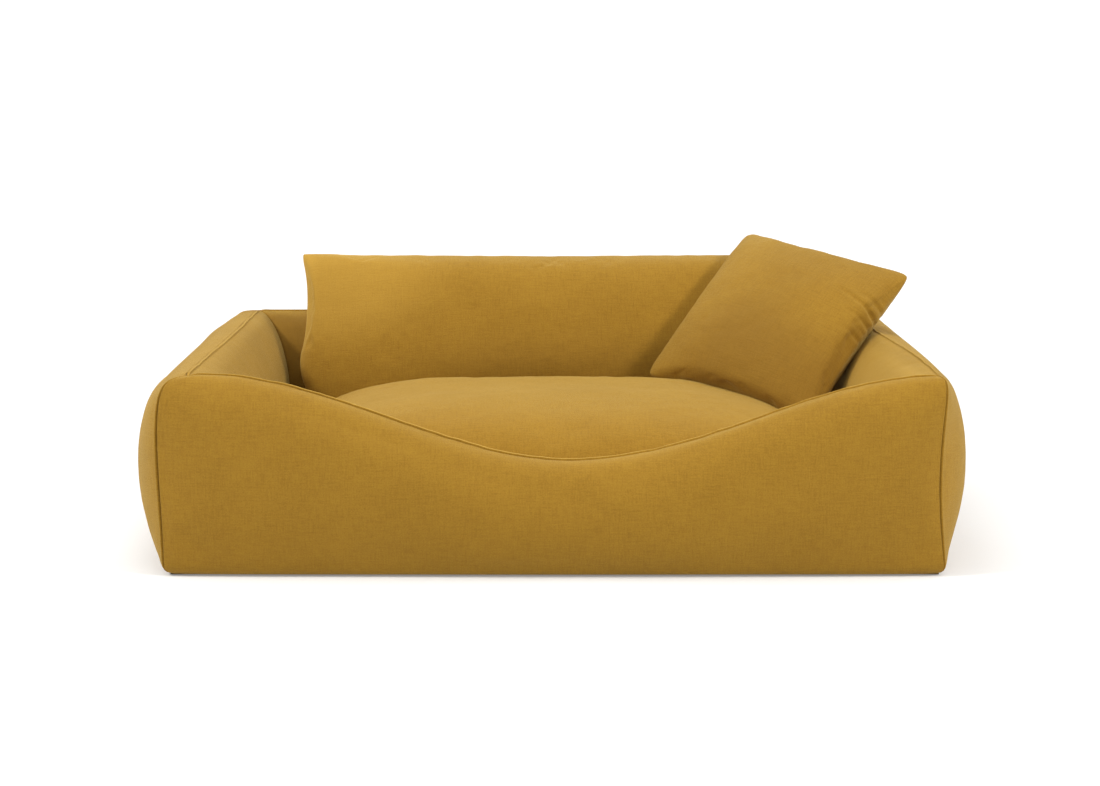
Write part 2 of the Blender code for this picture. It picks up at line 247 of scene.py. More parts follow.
def brass_finish():
    """Satin brass, a little dulled in patches and finely scratched."""
    finish = Finish("zip_metal", Metallic=1.0)
    place = finish.object_place()
    dull = finish.noise(place, 900, 3.0, 0.6)
    scratches = finish.noise(finish.stretched(place, (400, 4000, 4000)), 1.0, 2.0, 0.5)
    bright, tarnished = srgb(205, 176, 112), srgb(150, 118, 62)
    finish.set("Base Color", finish.mixed(dull.between(0.35, 0.7), bright, tarnished))
    finish.set("Roughness", 0.26 + dull * 0.22)
    finish.set("Normal", finish.bump(scratches, 0.0001, 0.35))
    return finish.material


def thread_finish():
    """Twisted sewing thread, a little lighter than the cloth."""
    finish = Finish("thread", Roughness=0.6, Sheen_Weight=0.2)
    place = finish.object_place()
    twist = finish.noise(place, 2600, 2.0, 0.5)
    shaded, lit = srgb(150, 108, 34), srgb(192, 150, 66)
    finish.set("Base Color", finish.mixed(twist.between(0.3, 0.7), shaded, lit))
    finish.set("Normal", finish.bump(twist, 0.0002, 0.5))
    return finish.material


def rubber_finish():
    """The dots that keep the base from slipping."""
    finish = Finish("grip_rubber", Roughness=0.55)
    place = finish.object_place()
    grain = finish.noise(place, 700, 2.0, 0.5)
    finish.set("Base Color", finish.mixed(grain, srgb(58, 50, 36), srgb(82, 72, 54)))
    finish.set("Normal", finish.bump(grain, 0.0003, 0.3))
    return finish.material


MUSTARD = woven_cloth(
    "cover_cloth",
    light=srgb(154, 115, 29),
    dark=srgb(133, 96, 20),
    deep=srgb(112, 77, 14),
    pale=srgb(186, 146, 58),
)
UNDERSIDE = woven_cloth(
    "underside_cloth",
    light=srgb(146, 118, 72),
    dark=srgb(122, 96, 56),
    deep=srgb(96, 74, 42),
    pale=srgb(170, 142, 96),
)
FOAM = filling_finish("foam", srgb(240, 232, 206), srgb(214, 204, 174), 700)
FIBRE = filling_finish("fibre_fill", srgb(246, 244, 238), srgb(222, 220, 214), 160)
TAPE = tape_finish()
BRASS = brass_finish()
THREAD_FINISH = thread_finish()
RUBBER = rubber_finish()


# ---------------------------------------------------------------- mesh helpers


def smooth_step(x):
    x = np.clip(x, 0, 1)
    return x * x * (3 - 2 * x)


def link(name, mesh):
    obj = bpy.data.objects.new(name, mesh)
    bpy.context.scene.collection.objects.link(obj)
    return obj


def mesh_object(name, points, faces, finish, uvs=None, worn=None):
    """A smooth mesh with its cloth's own map, drawn paler for wear and painted light, darker under 0
    for painted shade.
    """
    mesh = bpy.data.meshes.new(name)
    mesh.from_pydata([tuple(p) for p in points], [], [tuple(int(i) for i in f) for f in faces])
    if uvs is not None:
        layer = mesh.uv_layers.new(name="cloth")
        loops = np.zeros(len(mesh.loops), np.int32)
        mesh.loops.foreach_get("vertex_index", loops)
        layer.data.foreach_set("uv", np.asarray(uvs, np.float32)[loops].ravel())
    if worn is not None:
        attribute = mesh.attributes.new("worn", "FLOAT", "POINT")
        attribute.data.foreach_set("value", np.asarray(worn, np.float32))
    mesh.materials.append(finish)
    mesh.shade_smooth()
    return link(name, mesh)


def coordinates(mesh):
    flat = np.zeros(len(mesh.vertices) * 3, np.float32)
    mesh.vertices.foreach_get("co", flat)
    return flat.reshape(-1, 3).astype(float)


def place_points(mesh, points):
    mesh.vertices.foreach_set("co", np.asarray(points, np.float32).ravel())
    mesh.update()


def rumple(points, scale, seed, detail=2):
    """A smooth random value from -1 to 1 at each point, as cloth that isn't quite even."""
    offset = Vector((seed * 7.3, seed * 3.1, seed * 5.7))
    return np.array(
        [noise.fractal(Vector(p) * scale + offset, 1.0, 2.0, detail) for p in points]
    )


def cubic(values, places):
    """Values along a grid's second axis, read off at finer places, which may differ by row."""
    count = values.shape[1]
    places = np.broadcast_to(places, (values.shape[0], np.shape(places)[-1]))
    whole = np.clip(np.floor(places).astype(int), 0, count - 2)
    t = (places - whole)[..., None]

    def step(by):
        chosen = np.clip(whole + by, 0, count - 1)[..., None]
        return np.take_along_axis(values, chosen, axis=1)

    p0, p1, p2, p3 = step(-1), step(0), step(1), step(2)
    return 0.5 * (
        2 * p1
        + (p2 - p0) * t
        + (2 * p0 - 5 * p1 + 4 * p2 - p3) * t**2
        + (3 * p1 - p0 - 3 * p2 + p3) * t**3
    )


def resample(grid, rows, columns):
    """A coarse grid of vectors read off at finer rows, and then at finer columns."""
    finer = cubic(grid.transpose(1, 0, 2), rows).transpose(1, 0, 2)
    return cubic(finer, columns)


def evened(grid, times):
    """A grid of vectors with its sharpest differences smoothed away."""
    for _ in range(times):
        around = np.pad(grid, ((1, 1), (1, 1), (0, 0)), mode="edge")
        beside = around[:-2, 1:-1] + around[2:, 1:-1] + around[1:-1, :-2] + around[1:-1, 2:]
        grid = grid * 0.5 + beside * 0.125
    return grid


def settle(obj, pins, pressure, slack, frames, most):
    """How far each point moves when cloth swells and creases over its filling, up to a limit."""
    facing_out(obj)
    group = obj.vertex_groups.new(name="sewn")
    for weight in sorted(set(np.round(pins[pins > 0], 2))):
        chosen = np.nonzero(np.abs(pins - weight) < 0.006)[0]
        group.add([int(i) for i in chosen], float(weight), "REPLACE")
    before = coordinates(obj.data)
    step = obj.modifiers.new("Cloth", "CLOTH")
    cloth = step.settings
    cloth.quality = 6
    cloth.mass = 0.25
    cloth.tension_stiffness = cloth.compression_stiffness = 20
    cloth.shear_stiffness = 8
    cloth.bending_stiffness = 0.6
    cloth.tension_damping = cloth.compression_damping = 12
    cloth.air_damping = 4
    cloth.use_pressure = True
    cloth.uniform_pressure_force = pressure
    cloth.shrink_min = cloth.shrink_max = -slack
    cloth.effector_weights.gravity = 0
    if pins.any():
        cloth.vertex_group_mass = "sewn"
        cloth.pin_stiffness = 1.0
    step.collision_settings.use_collision = False
    scene = bpy.context.scene
    step.point_cache.frame_start, step.point_cache.frame_end = 1, frames
    for number in range(1, frames + 1):
        scene.frame_set(number)
    graph = bpy.context.evaluated_depsgraph_get()
    after = coordinates(obj.evaluated_get(graph).data)
    scene.frame_set(1)
    moved = after - before
    length = np.linalg.norm(moved, axis=1, keepdims=True)
    moved *= np.minimum(1, most * np.tanh(length / most) / np.maximum(length, 1e-9))
    bpy.data.objects.remove(obj, do_unlink=True)
    return np.nan_to_num(moved)


# ---------------------------------------------------------------- the frame's walls


def at_corners(name, u):
    """A wall's crest inset and inner fullness along it, which differ from corner to corner."""
    crest = np.full_like(u, WALLS[name][3])
    towards_back = {"front": u * 0, "back": u * 0 + 1, "left": u < 0, "right": u > 0}[name] * 1.0
    if name in FRONT_CREST_IN:
        forward = -u if name == "right" else u
        crest = crest + (FRONT_CREST_IN[name] - crest) * smooth_step((forward + 0.5) / 1.5)
    return crest, CORNER_FILL * towards_back * np.abs(u) ** 8


def rolled_in(crest_in, belly, u, h):
    """How far in from its full depth a wall's outer side is, at a share h of its height."""
    power = ROLL_POWER + 8 * np.abs(u) ** 8
    rolled = crest_in * (1 - np.maximum(0, 1 - h**power) ** ROLL_FULL)
    swell = np.maximum(0, np.sin(np.pi * h)) ** SWELL_POWER
    radius = FOOT_ROUND * (1 + 0.6 * np.abs(u) ** 12)
    low = np.clip(1 - h * HEIGHT / radius, 0, 1)
    under = radius * (1 - np.sqrt(1 - low * low))
    return rolled + under - belly * (1 - np.abs(u) ** BELLY_POWER) * swell


def leant_in(crest_in, extra, u, h):
    """The same for its inner side."""
    lean = np.maximum(0, (h - SHOULDER_FROM) / (1 - SHOULDER_FROM))
    share = np.maximum(0, 1 - lean * lean) ** SHOULDER_POWER
    swell = INNER_BELLY * (1 - np.abs(u) ** 4) * np.maximum(0, np.sin(np.pi * h)) ** 0.8
    return crest_in + (WALL_BASE + extra - crest_in) * share + swell


def seam_height(name, along):
    """How high the top seam runs, which dips at the middle of the front wall."""
    if name == "right":
        return HEIGHT + RIGHT_CREST_UP * np.maximum(0, 1 - (2 * along / DEPTH) ** 2) ** 1.5
    if name != "front":
        return np.full_like(along, HEIGHT)
    share = np.minimum(1, np.abs(along - DIP_CENTRE) / DIP_HALF)
    return HEIGHT - DIP_DEPTH * (1 + np.cos(np.pi * share)) / 2


# for each wall, the wall met at its -1 end and at its +1 end, and which end of that wall is met
NEIGHBOURS = {
    "front": (("left", 1), ("right", -1)),
    "right": (("front", 1), ("back", -1)),
    "back": (("right", 1), ("left", -1)),
    "left": (("back", 1), ("front", -1)),
}


def mitre(name, u, h, outer):
    """How far in from its full length a wall's cloth ends, where it meets the next wall's."""
    found = []
    for beside, end in NEIGHBOURS[name]:
        crest, extra = at_corners(beside, np.full_like(u, end))
        rolled, leant = rolled_in(crest, 0, 1, h), leant_in(crest, extra, 1, h)
        found.append(np.where(outer, rolled, leant))
    return np.where(u < 0, found[0], found[1])


def wall_surface(name, u, side):
    """Points of a wall. side is -1 at the outer foot, 0 at the top seam, 1 at the inner foot."""
    turn, half_out, half_along, _, belly = WALLS[name]
    crest, extra = at_corners(name, u)
    h = np.sin((1 - np.abs(side)) * np.pi / 2)
    outer = side <= 0
    inward = np.where(outer, rolled_in(crest, belly, u, h), leant_in(crest, extra, u, h))
    top = seam_height(name, u * (half_along - inward))
    z = FOOT + (top - FOOT) * h
    ends = np.ones_like(u)
    first, last = mitre(name, -ends, h, outer), mitre(name, ends, h, outer)
    low, high = first - half_along, half_along - last
    along = low + (high - low) * (u + 1) / 2
    angle = math.radians(turn)
    y = inward - half_out
    return np.stack(
        (
            along * math.cos(angle) - y * math.sin(angle),
            along * math.sin(angle) + y * math.cos(angle),
            z,
        ),
        axis=-1,
    )


def tube_faces(rows, columns):
    """Faces of a closed loop of columns drawn along rows, its ends closed on middle points."""
    i, j = np.meshgrid(np.arange(rows - 1), np.arange(columns), indexing="ij")
    k = (j + 1) % columns
    near, far = i * columns, (i + 1) * columns
    quads = np.stack((near + j, far + j, far + k, near + k), axis=-1).reshape(-1, 4)
    faces = [tuple(q) for q in quads]
    first, last = rows * columns, rows * columns + 1
    for c in range(columns):
        after = (c + 1) % columns
        faces.append((first, c, after))
        faces.append((last, (rows - 1) * columns + after, (rows - 1) * columns + c))
    return faces


def with_ends(grid):
    """The grid's points and the middle point of each end."""
    flat = grid.reshape(-1, grid.shape[-1])
    return np.concatenate((flat, grid[:1].mean(axis=1), grid[-1:].mean(axis=1)))


def arc_lengths(grid):
    """How far each point is along its row and along its column, in metres."""
    down = np.zeros(grid.shape[:2])
    down[:, 1:] = np.cumsum(np.linalg.norm(np.diff(grid, axis=1), axis=2), axis=1)
    over = np.zeros(grid.shape[:2])
    over[1:] = np.cumsum(np.linalg.norm(np.diff(grid, axis=0), axis=2), axis=0)
    return over, down


def grid_normals(grid):
    """Outward normals of a wall's grid."""
    du = np.gradient(grid, axis=0)
    dv = np.gradient(grid, axis=1)
    normals = np.cross(dv, du)
    return normals / np.maximum(np.linalg.norm(normals, axis=2, keepdims=True), 1e-12)


# the corner's side, how far its seam bows to the left, and the share of the height at which it does
CORNER_BOWS = ((-1, 0.0050, 0.68), (1, 0.0100, 0.50))


def bowed(points):
    """The front corner seams, which don't hang quite straight."""
    high = np.clip(points[..., 2] / HEIGHT, 0, 1)
    for hand, bow, at in CORNER_BOWS:
        away = np.hypot(points[..., 0] - hand * WIDTH / 2, points[..., 1] + DEPTH / 2)
        shape = np.sin(np.pi * high ** (math.log(0.5) / math.log(at)))
        points[..., 0] -= bow * shape * np.exp(-((away / 0.055) ** 2))
    return points


# How finely the walls are swollen, and then drawn: metres from the top seam and from a corner seam
COARSE_ROWS = {"front": 121, "back": 121, "left": 91, "right": 91}
COARSE_SIDES = 67
NEAR_CREST = np.concatenate((np.arange(0, 8, 0.5), np.arange(8.5, 30, 2.0))) / 1000
NEAR_CORNER = np.array((0, 0.7, 1.4, 2.2, 3.0, 4.0, 5.2, 7.0, 9.5, 12.5, 16, 20)) / 1000
FAR_SIDES = 58
FAR_STEP = 0.004


def finer_rows(half_along):
    """Places along a wall, close together by its corner seams."""
    from_corner = NEAR_CORNER[-1] + FAR_STEP
    middle = np.arange(from_corner - half_along, half_along - from_corner + 0.0001, FAR_STEP)
    metres = np.concatenate((-half_along + NEAR_CORNER, middle, (half_along - NEAR_CORNER)[::-1]))
    return metres / half_along


def finer_sides(name, u):
    """For each row, places round the wall that are close together by its top seam."""
    dense = np.linspace(-1, 1, 1601)
    grid = wall_surface(name, *np.meshgrid(u, dense, indexing="ij"))
    _, down = arc_lengths(grid)
    middle = len(dense) // 2
    chosen = []
    for row in down:
        to_foot, to_tray = row[middle], row[-1] - row[middle]
        outer = np.concatenate((NEAR_CREST, np.linspace(0.032, to_foot, FAR_SIDES)))
        inner = np.concatenate((NEAR_CREST[1:], np.linspace(0.032, to_tray, FAR_SIDES)))
        stops = np.concatenate((to_foot - outer[::-1], to_foot + inner))
        chosen.append(np.interp(stops, row, dense))
    return np.array(chosen), len(NEAR_CREST) + FAR_SIDES - 1


def stuffed_wall(name):
    """One wall's cover, swollen and creased and then sewn."""
    rows, columns = COARSE_ROWS[name], COARSE_SIDES
    u = np.linspace(-1, 1, rows)
    side = np.linspace(-1, 1, columns)
    coarse = wall_surface(name, *np.meshgrid(u, side, indexing="ij"))
    drift = np.zeros((rows, columns, 3))
    start = mesh_object("settling", with_ends(coarse), tube_faces(rows, columns), MUSTARD)
    held = np.zeros((rows, columns))
    held[[0, -1]] = 1
    held[:, [0, 1, -2, -1]] = 1
    held[:, columns // 2] = 1
    pins = np.concatenate((held.ravel(), [1, 1]))
    moved = settle(start, pins, 1.4, 0.003, 16, 0.005)
    drift = evened(moved[: rows * columns].reshape(rows, columns, 3), 4)
    fine_u = finer_rows(WALLS[name][2])
    sides, middle = finer_sides(name, fine_u)
    fine = wall_surface(name, np.broadcast_to(fine_u[:, None], sides.shape), sides)
    along = cubic(drift.transpose(1, 0, 2), (fine_u + 1) / 2 * (rows - 1)).transpose(1, 0, 2)
    moved = cubic(along, (sides + 1) / 2 * (columns - 1))
    return sewn_wall(name, fine, moved, middle)


def sewn_wall(name, grid, moved, middle):
    """The cover with its unevenness and seams, and the line that its top seam is stitched along."""
    turn = math.radians(WALLS[name][0])
    along = np.array((math.cos(turn), math.sin(turn), 0))
    outward = np.array((math.sin(turn), -math.cos(turn), 0))
    over, down = arc_lengths(grid)
    normals = grid_normals(grid)
    if (normals[len(grid) // 2, 20] @ outward) < 0:
        normals = -normals
    from_end = np.minimum(over, over[-1:] - over)
    hand = np.sign(grid @ along)[:, :, None]
    from_seam = down - down[:, middle : middle + 1]
    flat = grid.reshape(-1, 3)
    soft = rumple(flat, 7.0, len(name), 2).reshape(over.shape) * 0.0018
    fine = rumple(flat, 30.0, 3 + len(name), 2).reshape(over.shape) * 0.0004
    line = np.stack((over.ravel(), np.zeros(over.size), np.zeros(over.size)), axis=1)
    gathers = rumple(line, 46.0, 9, 1).reshape(over.shape)
    puckers = gathers * 0.0009 * np.exp(-np.abs(from_seam) / 0.030)
    lift = np.sum(moved * normals, axis=2) + soft + fine + puckers + COVER_EASE
    lift = np.where(from_seam > 0, lift * 0.7, np.maximum(lift, -0.0004))
    fade = smooth_step((grid[:, :, 2] - FOOT) / 0.03) * smooth_step(from_end / 0.02)
    wobble = rumple(line, 24.0, 5, 1).reshape(over.shape) * 0.0004
    edge = from_seam + FELL_WIDTH + wobble
    outer = from_seam <= 0.0002
    groove = 0.0018 * np.exp(-((edge / 0.0009) ** 2)) * outer
    fell = 0.0018 * smooth_step((edge - 0.0003) / 0.0012)
    fell = fell * smooth_step((0.0010 - from_seam) / 0.0014)
    stitched = (fell - groove) * smooth_step(from_end / 0.012)
    tuck = SEAM_TUCK * np.exp(-((from_end / SEAM_REACH) ** 2))[:, :, None]
    facing = (normals @ outward)[:, :, None]
    points = grid + normals * (lift * fade + stitched)[:, :, None]
    points -= tuck * (normals + facing * hand * along)
    points[:, :, 2] = np.maximum(points[:, :, 2], FOOT)
    points = bowed(points)
    up = np.where(from_seam <= 0, down, down[:, -1:] - down + 0.83)
    uvs = np.stack((grid @ along, up), axis=-1) + len(name) * 0.37
    # paler along the crest: wear, and a painted highlight where light catches the ridge
    wall_wear_and_painted_light = CREST_WEAR_AND_HIGHLIGHT[name] * np.exp(-(((from_seam + 0.0016) / 0.0022) ** 2))
    # darker along the fell's groove and at the corner seams: painted shade in these recesses
    wall_wear_and_painted_light -= np.exp(-((edge / 0.0010) ** 2)) * outer
    wall_wear_and_painted_light -= 0.8 * np.exp(-((from_end / 0.0010) ** 2))
    # painted light inside the right wall and painted shade inside the back wall, for the light and
    # shadow that fall on them
    wall_wear_and_painted_light += INNER_PAINTED_LIGHT_AND_SHADE[name] * smooth_step((from_seam - 0.004) / 0.030)
    body = mesh_object(
        f"{name}_wall_cover",
        with_ends(points),
        tube_faces(*grid.shape[:2]),
        MUSTARD,
        with_ends(uvs),
        with_ends(wall_wear_and_painted_light[:, :, None])[:, 0],
    )
    column = int(np.argmin(np.abs(from_seam[len(grid) // 2] + FELL_WIDTH)))
    return body, points[9:-9, column] + normals[9:-9, column] * 0.0001


# ---------------------------------------------------------------- geometry nodes


class Growing:
    """A Geometry Nodes tree being built, with named inputs for its sizes."""

    def __init__(self, name):
        self.tree = bpy.data.node_groups.new(name, "GeometryNodeTree")
        for way in ("INPUT", "OUTPUT"):
            self.tree.interface.new_socket("Geometry", in_out=way, socket_type="NodeSocketGeometry")
        self.source = self.tree.nodes.new("NodeGroupInput")
        self.result = self.tree.nodes.new("NodeGroupOutput")

    def size(self, name, value):
        """A named input, which holds that size unless a modifier says otherwise."""
        made = self.tree.interface.new_socket(name, in_out="INPUT", socket_type="NodeSocketFloat")
        made.default_value = value
        return self.source.outputs[name]

    def node(self, kind, settings, inputs):
        made = self.tree.nodes.new(kind)
        for key, value in settings.items():
            setattr(made, key, value)
        for key, value in inputs.items():
            socket = made.inputs[key]
            if isinstance(value, bpy.types.NodeSocket):
                self.tree.links.new(value, socket)
            else:
                socket.default_value = value
        return made

    def end(self, geometry, finish):
        """The tree's result, as one mesh of that finish."""
        whole = self.node("GeometryNodeRealizeInstances", {}, {"Geometry": geometry})
        dressed = self.node(
            "GeometryNodeSetMaterial", {}, {"Geometry": whole.outputs[0], "Material": finish}
        )
        self.tree.links.new(dressed.outputs[0], self.result.inputs[0])


def grown(name, base, tree):
    """The plain mesh that a tree makes of a base object."""
    step = base.modifiers.new("Grow", "NODES")
    step.node_group = tree
    bpy.context.view_layer.update()
    graph = bpy.context.evaluated_depsgraph_get()
    mesh = bpy.data.meshes.new_from_object(base.evaluated_get(graph))
    mesh.name = name
    bpy.data.objects.remove(base, do_unlink=True)
    mesh.shade_smooth()
    return link(name, mesh)


def line_object(lines):
    """Open polylines as a mesh of edges."""
    points, edges = [], []
    for line in lines:
        start = len(points)
        points.extend(tuple(p) for p in line)
        edges.extend((start + i, start + i + 1) for i in range(len(line) - 1))
    mesh = bpy.data.meshes.new("lines")
    mesh.from_pydata(points, edges, [])
    return link("lines", mesh)


def stitch_tree():
    """Short rounded stitches laid end to end along each line."""
    g = Growing("Stitches")
    step = g.size("Step", STITCH_STEP)
    length = g.size("Length", STITCH_LENGTH)
    radius = g.size("Thread radius", THREAD)
    curve = g.node("GeometryNodeMeshToCurve", {}, {"Mesh": g.source.outputs[0]})
    spaced = g.node(
        "GeometryNodeResampleCurve", {"mode": "LENGTH"}, {"Curve": curve.outputs[0], "Length": step}
    )
    shape = g.node(
        "GeometryNodeMeshCylinder",
        {"fill_type": "TRIANGLE_FAN"},
        {"Vertices": 6, "Radius": radius, "Depth": length},
    )
    tangent = g.node("GeometryNodeInputTangent", {}, {})
    turn = g.node(
        "FunctionNodeAlignRotationToVector", {"axis": "Z"}, {"Vector": tangent.outputs[0]}
    )
    placed = g.node(
        "GeometryNodeInstanceOnPoints",
        {},
        {"Points": spaced.outputs[0], "Instance": shape.outputs[0], "Rotation": turn.outputs[0]},
    )
    g.end(placed.outputs[0], THREAD_FINISH)
    return g.tree


# ---------------------------------------------------------------- cushions


class Cushion:
    """A knife-edged cushion. X across, Z up, its front facing -Y, before it is put in its place."""

    def __init__(self, name, half, depths, power, full, place, turn):
        self.name = name
        self.half_w, self.half_h = half
        self.front, self.rear = depths
        self.power, self.full = power, full
        # how far its sides and its top and bottom draw in, and where the sides do most
        self.pinch_w, self.pinch_h, self.pinch_at, self.pinch_span = 0, 0, 0, 1
        # how flat what lies on it presses it, and how much narrower its foot and its corners are
        self.press, self.low_tuck, self.ear, self.creases = 0, 0, 0.03, ()
        # painted shade at its top, low down and in the middle, and painted light at its left end, for
        # the shadow and light that fall there
        self.nap_top, self.nap_low, self.nap_mid, self.painted_light_left = 0, 0, 0, 0
        yaw, lean, roll = (math.radians(a) for a in turn)
        self.matrix = (
            Matrix.Translation(place)
            @ Matrix.Rotation(yaw, 4, "Z")
            @ Matrix.Rotation(-lean, 4, "X")
            @ Matrix.Rotation(roll, 4, "Y")
        )

    def sheet(self, u, v, front):
        """One side of the cover at u, v from -1 to 1."""
        drawn = self.pinch_w * np.maximum(0, 1 - ((v - self.pinch_at) / self.pinch_span) ** 2)
        drawn = drawn + self.low_tuck * smooth_step((-v - 0.3) / 0.7) ** 1.3
        x = self.half_w * u * (1 - drawn)
        z = self.half_h * v * (1 - self.pinch_h * (1 - u * u))
        corner = (np.abs(u) * np.abs(v)) ** 12
        x = x - np.sign(u) * self.ear * 0.14 * corner
        z = z - np.sign(v) * self.ear * 0.14 * corner
        swell = (1 - np.abs(u) ** self.power) * (1 - np.abs(v) ** self.power)
        full = np.maximum(0, swell) ** self.full[0 if front else 1]
        if front:
            pressed = 1 - self.press * smooth_step((v - 0.33) / 0.33)
            y = -self.front * pressed * full
        else:
            y = self.rear * full
        return np.stack((x, y, z), axis=-1)


def ease(count):
    """Places from -1 to 1, closer together towards the ends."""
    line = np.linspace(-1, 1, count)
    return 0.45 * line + 0.55 * np.sin(line * np.pi / 2)


def cushion_faces(rows, columns):
    """Faces of front and rear grids that share their edge, and the vertex of each grid point."""
    front = np.arange(rows * columns).reshape(rows, columns)
    rear = front.copy()
    inner = (rows - 2) * (columns - 2)
    rear[1:-1, 1:-1] = rows * columns + np.arange(inner).reshape(rows - 2, columns - 2)
    faces = []
    for ids, flip in ((front, False), (rear, True)):
        quads = np.stack((ids[:-1, :-1], ids[1:, :-1], ids[1:, 1:], ids[:-1, 1:]), axis=-1)
        quads = quads.reshape(-1, 4)
        faces.extend(tuple(q[::-1]) if flip else tuple(q) for q in quads)
    return faces, front, rear


def joined_sheets(front, rear):
    rows, columns = front.shape[:2]
    return np.concatenate(
        (front.reshape(rows * columns, -1), rear[1:-1, 1:-1].reshape(-1, front.shape[-1]))
    )


def stuffed_cushion(cushion, coarse, fine_factor, swelling, zip_seat=None):
    """The cushion's cover after the stuffing has swollen it, with a seam round its edge."""
    rows, columns = coarse
    u, v = np.meshgrid(ease(rows), ease(columns), indexing="ij")
    front, rear = cushion.sheet(u, v, True), cushion.sheet(u, v, False)
    faces, front_ids, rear_ids = cushion_faces(rows, columns)
    start = mesh_object("settling", joined_sheets(front, rear), faces, MUSTARD)
    moved = settle(start, np.zeros(len(start.data.vertices)), *swelling)
    drift_front, drift_rear = moved[front_ids], moved[rear_ids]
    fine_rows, fine_columns = (rows - 1) * fine_factor + 1, (columns - 1) * fine_factor + 1
    at_rows = np.linspace(0, rows - 1, fine_rows)
    at_columns = np.linspace(0, columns - 1, fine_columns)
    eased_u = np.interp(at_rows, np.arange(rows), ease(rows))
    eased_v = np.interp(at_columns, np.arange(columns), ease(columns))
    fu, fv = np.meshgrid(eased_u, eased_v, indexing="ij")
    sheets = []
    for is_front, drift in ((True, drift_front), (False, drift_rear)):
        grid = cushion.sheet(fu, fv, is_front) + resample(drift, at_rows, at_columns)
        sheets.append(detailed_sheet(cushion, grid, is_front, fu, fv))
    if zip_seat is not None:
        sheets[1][0][:] = seated(sheets[1][0], zip_seat)
    edge = np.zeros(fu.shape, bool)
    edge[[0, -1]] = True
    edge[:, [0, -1]] = True
    shared = (sheets[0][0] + sheets[1][0]) / 2
    for points, _ in sheets:
        points[edge] = shared[edge]
    faces, _, _ = cushion_faces(fine_rows, fine_columns)
    points = joined_sheets(sheets[0][0], sheets[1][0])
    uvs = joined_sheets(sheets[0][1], sheets[1][1])
    rim_wear = np.maximum(0, 1 - 14 * (1 - np.maximum(np.abs(fu), np.abs(fv)))) * 0.3
    # the rim's paleness is wear; the rest is painted shade at the top, low down and in the middle,
    # and painted light at the left end
    rim_wear_and_painted_light = rim_wear - cushion.nap_top * smooth_step((fv + 0.2) / 1.0)
    rim_wear_and_painted_light -= cushion.nap_low * smooth_step((0.25 - fv) / 0.8)
    rim_wear_and_painted_light -= cushion.nap_mid * np.exp(-(fu**2 + fv**2) / 0.25)
    rim_wear_and_painted_light += cushion.painted_light_left * smooth_step((-fu - 0.2) / 0.6)
    worn = joined_sheets(rim_wear_and_painted_light[:, :, None], rim_wear[:, :, None])[:, 0]
    matrix = np.array(cushion.matrix)
    world = points @ matrix[:3, :3].T + matrix[:3, 3]
    obj = mesh_object(f"{cushion.name}_cover", world, faces, MUSTARD, uvs, worn)
    facing_out(obj)
    return obj


def detailed_sheet(cushion, grid, is_front, u, v):
    """Soft dimples, and puckers that run in from the seam."""
    over, down = arc_lengths(grid)
    normals = grid_normals(grid)
    if (normals[len(grid) // 2, grid.shape[1] // 2, 1] > 0) == is_front:
        normals = -normals
    edge_u = np.minimum(over, over[-1:] - over)
    edge_v = np.minimum(down, down[:, -1:] - down)
    edge = np.minimum(edge_u, edge_v)
    flat = grid.reshape(-1, 3)
    seed = len(cushion.name) + (3 if is_front else 8)
    soft = rumple(flat, 9.0, seed, 2).reshape(over.shape) * 0.0020
    fine = rumple(flat, 40.0, seed + 1, 2).reshape(over.shape) * 0.0005
    run = np.where(edge_u < edge_v, down, over + 3.7)
    line = np.stack((run.ravel(), np.zeros(run.size), np.zeros(run.size)), axis=1)
    gathers = rumple(line, 46.0, seed + 2, 1).reshape(over.shape)
    near = np.exp(-edge / 0.022) * smooth_step(edge / 0.004)
    lift = (soft + fine) * smooth_step(edge / 0.04) + gathers * 0.0011 * near
    for at, slant, depth, reach in cushion.creases:
        beside = (v - at - slant * (1 - u)) * cushion.half_h
        fold = np.exp(-((beside / 0.0032) ** 2))
        fold = fold - 0.6 * np.exp(-(((np.abs(beside) - 0.0065) / 0.0036) ** 2))
        inside = np.exp(-np.maximum(0, (1 - u) * cushion.half_w) / reach)
        inside = inside * smooth_step((u - 0.3) / 0.3)
        lift = lift - depth * fold * inside * (1 if is_front else 0.5)
    points = grid + normals * lift[:, :, None]
    uvs = np.stack((over - over[-1:] / 2, down - down[:, -1:] / 2), axis=-1)
    return points, uvs + seed * 0.23


def facing_out(obj):
    """Turns every face outwards."""
    bm = bmesh.new()
    bm.from_mesh(obj.data)
    bmesh.ops.recalc_face_normals(bm, faces=bm.faces[:])
    if bm.calc_volume(signed=True) < 0:
        bmesh.ops.reverse_faces(bm, faces=bm.faces[:])
    bm.to_mesh(obj.data)
    bm.free()
    obj.data.shade_smooth()


ZIP_BED = 0.0006


def seated(points, seat):
    """Cloth drawn flat along a zip, just under its tape."""
    matrix, length = seat
    inverse = np.array(matrix.inverted())
    local = points @ inverse[:3, :3].T + inverse[:3, 3]
    beside = 1 - smooth_step((np.abs(local[..., 1]) - 0.009) / 0.030)
    beyond = 1 - smooth_step((np.abs(local[..., 0]) - length / 2) / 0.060)
    share = beside * beyond * (np.abs(local[..., 2]) < 0.03)
    local[..., 2] += (-ZIP_BED - local[..., 2]) * share
    forward = np.array(matrix)
    return local @ forward[:3, :3].T + forward[:3, 3]


# ---------------------------------------------------------------- zips


TAPE_HALF = 0.007


